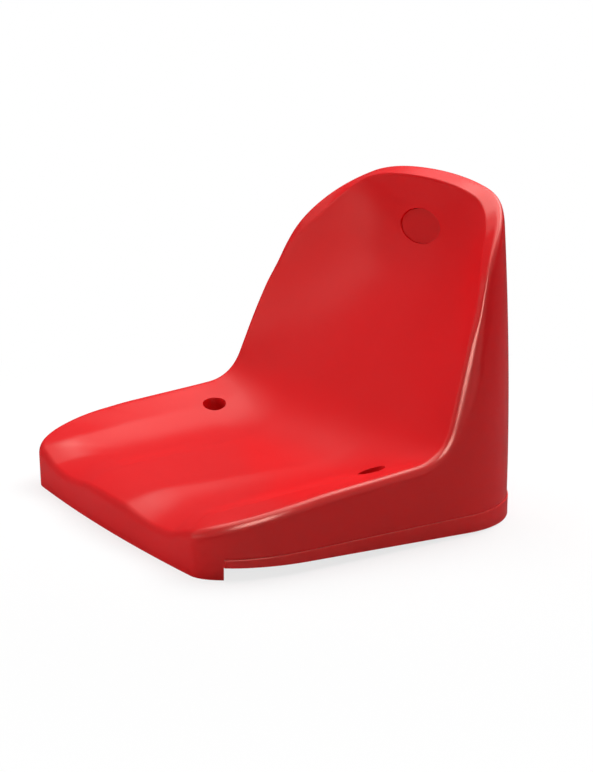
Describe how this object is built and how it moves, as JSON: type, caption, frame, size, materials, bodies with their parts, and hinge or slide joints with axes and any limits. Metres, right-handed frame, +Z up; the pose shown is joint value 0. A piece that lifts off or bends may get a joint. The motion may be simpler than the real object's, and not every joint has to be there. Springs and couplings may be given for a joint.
{
  "type": "stadium seat",
  "caption": "Fixed stadium bucket seat: moulded shell with wrapped backrest on a wedge shaped base frame, fixed by bolts down through holes in the pan.",
  "frame": {"origin": "on the ground under the middle of the seat's whole width and depth", "axes": "+Z up, the sitter faces -Y, +X to the sitter's left"},
  "size_m": [0.4324, 0.4117, 0.3418],
  "materials": {
    "shell_plastic": "smooth red polypropylene, high gloss",
    "base_plastic": "red polypropylene, slightly duller",
    "plate_plastic": "blank red plate",
    "zinc_steel": "zinc plated steel"
  },
  "bodies": {
    "root": {"seat_shell": "shell_plastic", "base_frame": "base_plastic", "number_plate": "plate_plastic", "fixing_bush_left": "zinc_steel", "fixing_bush_right": "zinc_steel", "base_screw_1": "zinc_steel", "base_screw_2": "zinc_steel", "base_screw_3": "zinc_steel", "base_screw_4": "zinc_steel", "base_screw_5": "zinc_steel", "base_screw_6": "zinc_steel", "base_screw_7": "zinc_steel", "base_screw_8": "zinc_steel"}
  },
  "joints": []
}
